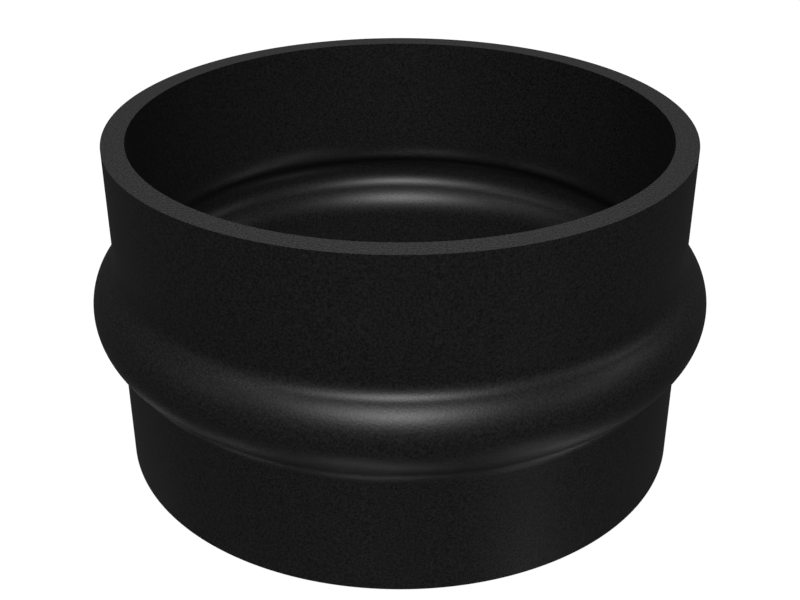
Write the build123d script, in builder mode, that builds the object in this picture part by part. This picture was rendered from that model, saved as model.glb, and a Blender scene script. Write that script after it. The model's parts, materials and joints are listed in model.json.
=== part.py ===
# Short rubber hose that joins two round duct ends: a plain cuff at each end, one rounded
# corrugation half way along, and the same wall thickness throughout. It is moulded in one piece.
# The origin is the centre of the lower end face, with +Z along the axis of the bore.
import os
from math import acos, degrees, sin, radians

from build123d import *

# Driving dimensions, in millimetres
duct_diameter = 125.0  # outside of the duct end that each cuff slips over
slip_clearance = 0.3  # between duct and bore, on the radius
wall = 5.3  # measured square to the surface, the same all the way along
length = 80.0  # end face to end face
hump_rise = 5.83  # crest of the corrugation above the cuff
groove_radius = 5.7  # inside of the corrugation, in section
neck_radius = 4.8  # hollow between cuff and corrugation, on the outside, in section

# Sizes that follow from them
bore_radius = duct_diameter / 2 + slip_clearance
cuff_radius = bore_radius + wall
hump_radius = groove_radius + wall
arc_centres = hump_radius + neck_radius  # between the centres of a neck arc and of the hump arc
wall_slope = degrees(acos(1 - hump_rise / arc_centres))  # steepest lean of the wall from the axis
half_hump = arc_centres * sin(radians(wall_slope))  # from the crest to where a cuff begins
cuff_length = length / 2 - half_hump

# The section is drawn as its outside line, five stretches that run into each other without a
# corner, and the line is thickened inwards by the wall.
with BuildPart() as corrugated_hose:
    with BuildSketch(Plane.XZ):
        with BuildLine():
            lower_cuff = Line((cuff_radius, 0), (cuff_radius, cuff_length))
            lower_neck = JernArc(lower_cuff @ 1, lower_cuff % 1, neck_radius, -wall_slope)
            hump = JernArc(lower_neck @ 1, lower_neck % 1, hump_radius, 2 * wall_slope)
            upper_neck = JernArc(hump @ 1, hump % 1, neck_radius, -wall_slope)
            upper_cuff = Line(upper_neck @ 1, (cuff_radius, length))
            offset(amount=wall, side=Side.LEFT)
        make_face()
    revolve(axis=Axis.Z)

corrugated_hose.part.label = "corrugated_hose"
os.makedirs("parts", exist_ok=True)
export_step(corrugated_hose.part, "parts/corrugated_hose.step")
print(f"cuff length {cuff_length:.3f}, wall slope {wall_slope:.2f}, volume {corrugated_hose.part.volume:.0f}")
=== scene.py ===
# Looks of the short rubber duct hose: one moulded piece turned about the Z axis,
# with a plain cuff at each end and one rounded corrugation between them.
import json
import math

import bpy
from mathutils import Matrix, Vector

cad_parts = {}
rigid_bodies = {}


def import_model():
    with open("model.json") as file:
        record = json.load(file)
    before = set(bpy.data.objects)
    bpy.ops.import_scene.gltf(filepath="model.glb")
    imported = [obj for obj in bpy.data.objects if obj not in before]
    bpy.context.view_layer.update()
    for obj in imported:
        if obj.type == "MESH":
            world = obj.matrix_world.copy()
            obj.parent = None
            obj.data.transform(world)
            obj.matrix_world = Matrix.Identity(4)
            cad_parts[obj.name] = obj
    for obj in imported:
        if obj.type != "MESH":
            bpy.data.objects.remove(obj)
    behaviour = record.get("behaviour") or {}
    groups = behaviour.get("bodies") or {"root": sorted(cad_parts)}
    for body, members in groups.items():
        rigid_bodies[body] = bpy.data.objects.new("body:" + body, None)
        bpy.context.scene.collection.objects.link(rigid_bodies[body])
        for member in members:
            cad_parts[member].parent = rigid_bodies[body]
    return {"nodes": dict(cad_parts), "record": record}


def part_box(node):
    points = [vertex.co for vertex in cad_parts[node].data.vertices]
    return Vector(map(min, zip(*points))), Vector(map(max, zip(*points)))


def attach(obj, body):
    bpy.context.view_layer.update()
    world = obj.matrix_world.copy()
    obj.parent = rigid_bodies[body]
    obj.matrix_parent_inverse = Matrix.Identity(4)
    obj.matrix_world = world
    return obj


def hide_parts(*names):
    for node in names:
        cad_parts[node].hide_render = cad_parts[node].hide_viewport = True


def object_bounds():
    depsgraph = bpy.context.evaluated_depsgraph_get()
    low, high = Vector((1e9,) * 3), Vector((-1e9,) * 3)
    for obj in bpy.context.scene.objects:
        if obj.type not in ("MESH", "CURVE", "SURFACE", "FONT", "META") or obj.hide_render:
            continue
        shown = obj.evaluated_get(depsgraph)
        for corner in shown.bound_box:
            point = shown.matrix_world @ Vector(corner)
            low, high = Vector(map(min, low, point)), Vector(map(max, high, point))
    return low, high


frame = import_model()
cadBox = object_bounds()
print("frame loaded:", ", ".join(sorted(frame["nodes"])))


# A socket of a node tree that takes part in Python expressions
class Wire:
    def __init__(self, tree, socket=None):
        self.tree = tree
        self.socket = socket

    def node(self, kind, settings=None, sockets=None, out=0):
        made = self.tree.nodes.new(kind)
        for name, value in (settings or {}).items():
            setattr(made, name, value)
        for name, value in (sockets or {}).items():
            if isinstance(value, Wire):
                self.tree.links.new(value.socket, made.inputs[name])
            else:
                made.inputs[name].default_value = value
        return Wire(self.tree, made.outputs[out]) if made.outputs else None

    def maths(self, operation, first, second):
        return self.node("ShaderNodeMath", {"operation": operation}, {0: first, 1: second})

    def __add__(self, other):
        return self.maths("ADD", self, other)

    def __radd__(self, other):
        return self.maths("ADD", other, self)

    def __sub__(self, other):
        return self.maths("SUBTRACT", self, other)

    def __rsub__(self, other):
        return self.maths("SUBTRACT", other, self)

    def __mul__(self, other):
        return self.maths("MULTIPLY", self, other)

    def __rmul__(self, other):
        return self.maths("MULTIPLY", other, self)


def emptyTree(owner):
    owner.use_nodes = True
    owner.node_tree.nodes.clear()
    return Wire(owner.node_tree)


# The hose body
hose = {
    "node": "corrugated_hose",
    "body": "root",
    "slot": "black_rubber",
    "neckRadius": 0.0048,  # hollow between cuff and corrugation, outside, in section
    "segments": 320,  # round the axis
    "cuffRows": 6,
    "neckRows": 14,
    "humpRows": 28,  # on each side of the crest
    "sharpAngle": 60,  # degrees, so that the square-cut ends stay crisp
}
mmPerMetre = 1000


def mountSize(kind, size):
    sizes = [m["dims"][size] for m in frame["record"]["mounts"] if m["kind"] == kind]
    return sizes[0] / mmPerMetre


def hoseSizes():
    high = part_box(hose["node"])[1]
    sizes = {"length": high.z, "crest": high.x}
    sizes["bore"] = mountSize("bore", "r_mm")
    sizes["cuff"] = mountSize("pin", "r_mm")
    sizes["cuffLength"] = mountSize("pin", "length_mm")
    rise = sizes["crest"] - sizes["cuff"]
    half = sizes["length"] / 2 - sizes["cuffLength"]
    reach = (half ** 2 + rise ** 2) / (2 * rise)  # between the centres of neck arc and hump arc
    sizes["slope"] = math.asin(half / reach)
    sizes["hump"] = reach - hose["neckRadius"]
    sizes["wall"] = sizes["cuff"] - sizes["bore"]
    return sizes


# Outside line from the lower end to the upper one, as (radius, height, lean of the wall)
def outsideLine(s):
    neck, hump, slope = hose["neckRadius"], s["hump"], s["slope"]
    middle = s["length"] / 2
    line = []
    for i in range(hose["cuffRows"]):
        line.append((s["cuff"], s["cuffLength"] * i / hose["cuffRows"], 0))
    for i in range(hose["neckRows"]):
        lean = slope * i / hose["neckRows"]
        radius = s["cuff"] + neck * (1 - math.cos(lean))
        line.append((radius, s["cuffLength"] + neck * math.sin(lean), lean))
    for i in range(hose["humpRows"] + 1):
        lean = slope * (1 - i / hose["humpRows"])
        radius = s["crest"] - hump * (1 - math.cos(lean))
        line.append((radius, middle - hump * math.sin(lean), lean))
    return line + [(r, s["length"] - z, -lean) for r, z, lean in reversed(line[:-1])]


# The inside line is the outside one, moved inwards by the wall square to the surface
def hoseSection(s):
    outside = outsideLine(s)
    inside = [
        (r - s["wall"] * math.cos(lean), z + s["wall"] * math.sin(lean))
        for r, z, lean in reversed(outside)
    ]
    return [(r, z) for r, z, lean in outside] + inside


def buildHose():
    section = hoseSection(hoseSizes())
    rows, around = len(section), hose["segments"]
    points, faces = [], []
    for k in range(around):
        turn = 2 * math.pi * k / around
        points += [(r * math.cos(turn), r * math.sin(turn), z) for r, z in section]
    for k in range(around):
        here, there = k * rows, (k + 1) % around * rows
        for i in range(rows):
            j = (i + 1) % rows
            faces.append((here + i, there + i, there + j, here + j))
    mesh = bpy.data.meshes.new("hoseBody")
    mesh.from_pydata(points, [], faces)
    mesh.shade_smooth()
    mesh.set_sharp_from_angle(angle=math.radians(hose["sharpAngle"]))
    body = bpy.data.objects.new("hoseBody", mesh)
    bpy.context.scene.collection.objects.link(body)
    print("hose body:", rows, "rows,", around, "segments,", 2 * len(faces), "triangles")
    return body


# Satin black rubber with a fine moulded grain, which is coarser where the ends are cut
rubber = {
    "colour": 0.0096,
    "roughness": 0.42,
    "specular": 0.5,
    "grainSize": 0.0005,  # metres from speck to speck
    "grainDetail": 1.0,
    "grainFade": 0.5,  # from the large specks to the small ones
    "grainMiddle": 0.5,  # of the noise, where the colour is as written
    "grainColour": 3.4,
    "grainRoughness": 0.08,
    "grainDepth": 0.000025,  # metres
    "cutGrain": 2.8,  # how much stronger roughness and depth vary on the square-cut ends
    "cutFacing": 0.8,  # square of the normal's part along the axis, and only the ends have more
}


def rubberMaterial():
    material = bpy.data.materials.new("blackRubber")
    wire = emptyTree(material)
    place = wire.node("ShaderNodeTexCoord", out="Object")
    grain = wire.node(
        "ShaderNodeTexNoise",
        {"noise_dimensions": "3D"},
        {
            "Vector": place,
            "Scale": 1 / rubber["grainSize"],
            "Detail": rubber["grainDetail"],
            "Roughness": rubber["grainFade"],
        },
    )
    facing = wire.node("ShaderNodeTexCoord", out="Normal")
    along = wire.node("ShaderNodeSeparateXYZ", {}, {"Vector": facing}, out="Z")
    cut = wire.maths("GREATER_THAN", along * along, rubber["cutFacing"])
    speck = grain - rubber["grainMiddle"]
    tooth = speck * (1 + (rubber["cutGrain"] - 1) * cut)
    shade = rubber["colour"] * (1 + rubber["grainColour"] * speck)
    colour = wire.node("ShaderNodeCombineColor", {}, {"Red": shade, "Green": shade, "Blue": shade})
    relief = wire.node("ShaderNodeBump", {}, {"Distance": rubber["grainDepth"], "Height": tooth})
    surface = wire.node(
        "ShaderNodeBsdfPrincipled",
        {},
        {
            "Base Color": colour,
            "Roughness": rubber["roughness"] + rubber["grainRoughness"] * tooth,
            "Specular IOR Level": rubber["specular"],
            "Normal": relief,
        },
    )
    wire.node("ShaderNodeOutputMaterial", {}, {"Surface": surface})
    return material


hoseBody = buildHose()
hoseBody.data.materials.append(rubberMaterial())
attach(hoseBody, hose["body"])
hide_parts(hose["node"])
print("finish:", hoseBody.data.materials[0].name, "on", hoseBody.name)

# A pale floor lit like a light table, so that lamps under it reach the hose
floor = {
    "radius": 3.0,
    "corners": 64,
    "glow": 0.96,
    "card": 0.08,  # the part of its paleness that takes the shadow of the hose
}


def buildFloor():
    ring = [2 * math.pi * k / floor["corners"] for k in range(floor["corners"])]
    mesh = bpy.data.meshes.new("floor")
    points = [(floor["radius"] * math.cos(t), floor["radius"] * math.sin(t), 0) for t in ring]
    mesh.from_pydata(points, [], [list(range(len(points)))])
    sheet = bpy.data.objects.new("floor", mesh)
    bpy.context.scene.collection.objects.link(sheet)
    material = bpy.data.materials.new("paleFloor")
    wire = emptyTree(material)
    glow = wire.node("ShaderNodeEmission", {}, {"Strength": floor["glow"]})
    card = wire.node("ShaderNodeBsdfDiffuse", {}, {"Color": (floor["card"],) * 3 + (1,)})
    both = wire.node("ShaderNodeAddShader", {}, {0: glow, 1: card})
    wire.node("ShaderNodeOutputMaterial", {}, {"Surface": both})
    mesh.materials.append(material)
    sheet.visible_glossy = False
    sheet.visible_diffuse = False
    sheet.visible_shadow = False


# Lamps by the angle round the hose from the camera's side, the angle above the floor, size and watts
lampAway = 4.0  # metres from the middle of the hose
cameraSide = -90  # degrees round from +X
lamps = {
    "key": {"turn": 0, "rise": 38, "size": (0.6, 0.6), "power": 41},
    "keyStrip": {"turn": -4, "rise": 44, "size": (3.4, 0.5), "power": 59},
    "back": {"turn": 180, "rise": 68, "size": (2.4, 2.4), "power": 92},
    "left": {"turn": -70, "rise": 52, "size": (0.6, 0.6), "power": 5.5},
    "leftLow": {"turn": -70, "rise": 22, "size": (2.4, 1.2), "power": 2.4},
    "right": {"turn": 92, "rise": 30, "size": (0.6, 0.6), "power": 4.5},
    "rightLow": {"turn": 70, "rise": 22, "size": (2.4, 1.2), "power": 4.5},
    "underFront": {"turn": -30, "rise": -70, "size": (0.6, 0.6), "power": 2.9},
    "underMiddle": {"turn": 0, "rise": -84, "size": (0.6, 0.6), "power": 1.5},
    "underRight": {"turn": 60, "rise": -50, "size": (0.6, 0.6), "power": 2.6},
    "underSide": {"turn": 110, "rise": -60, "size": (0.6, 0.6), "power": 1.7},
    "underTurn": {"turn": 80, "rise": -63, "size": (0.6, 0.6), "power": 1.1},
    "underLeft": {"turn": -107, "rise": -61, "size": (0.6, 0.6), "power": 1.0},
    "underBack": {"turn": -135, "rise": -45, "size": (0.6, 0.6), "power": 0.58},
}


def addLamp(name, settings):
    light = bpy.data.lights.new(name, "AREA")
    light.shape = "ELLIPSE"
    light.size, light.size_y = settings["size"]
    light.energy = settings["power"]
    lamp = bpy.data.objects.new(name, light)
    bpy.context.scene.collection.objects.link(lamp)
    turn, rise = math.radians(settings["turn"] + cameraSide), math.radians(settings["rise"])
    out = Vector((math.cos(turn) * math.cos(rise), math.sin(turn) * math.cos(rise), math.sin(rise)))
    middle = Vector((0, 0, cadBox[1][2] / 2))
    lamp.location = middle + lampAway * out
    lamp.rotation_euler = (-out).to_track_quat("-Z", "Y").to_euler()
    lamp.visible_camera = False


# A white surround where it is seen, in a mirror or through glass too, and a faint light elsewhere
surround = {"white": 1.0, "fill": 0.056}


def addSurround():
    world = bpy.data.worlds.new("surround")
    bpy.context.scene.world = world
    wire = emptyTree(world)
    seen = wire.node("ShaderNodeLightPath", out="Is Camera Ray")
    through = wire.node("ShaderNodeLightPath", out="Is Transmission Ray")
    mirrored = wire.node("ShaderNodeLightPath", out="Is Glossy Ray") * wire.node(
        "ShaderNodeLightPath", out="Is Singular Ray"
    )
    strength = surround["fill"] + (surround["white"] - surround["fill"]) * (seen + through + mirrored)
    glow = wire.node("ShaderNodeBackground", {}, {"Color": (1, 1, 1, 1), "Strength": strength})
    wire.node("ShaderNodeOutputWorld", {}, {"Surface": glow})


# The photo's viewing angle, straight from the front and looking down on the hose
camera = {
    "place": (0, -0.27548, 0.18298),
    "level": 90,  # degrees about X at which it looks level
    "pitch": 28.459,  # degrees down from there
    "lens": 56.57,
    "sensor": 36,  # millimetres wide, as the lens is in millimetres
    "nearest": 0.01,  # metres
}


def addCamera():
    lens = bpy.data.cameras.new("camera")
    lens.lens = camera["lens"]
    lens.sensor_width = camera["sensor"]
    lens.clip_start = camera["nearest"]
    view = bpy.data.objects.new("camera", lens)
    view.location = camera["place"]
    view.rotation_euler = (math.radians(camera["level"] - camera["pitch"]), 0, 0)
    bpy.context.scene.collection.objects.link(view)
    bpy.context.scene.camera = view


buildFloor()
for lampName, lampSettings in lamps.items():
    addLamp(lampName, lampSettings)
addSurround()
addCamera()
bpy.context.scene.view_settings.view_transform = "Standard"
print("stage:", len(lamps), "lamps, floor, surround and camera")
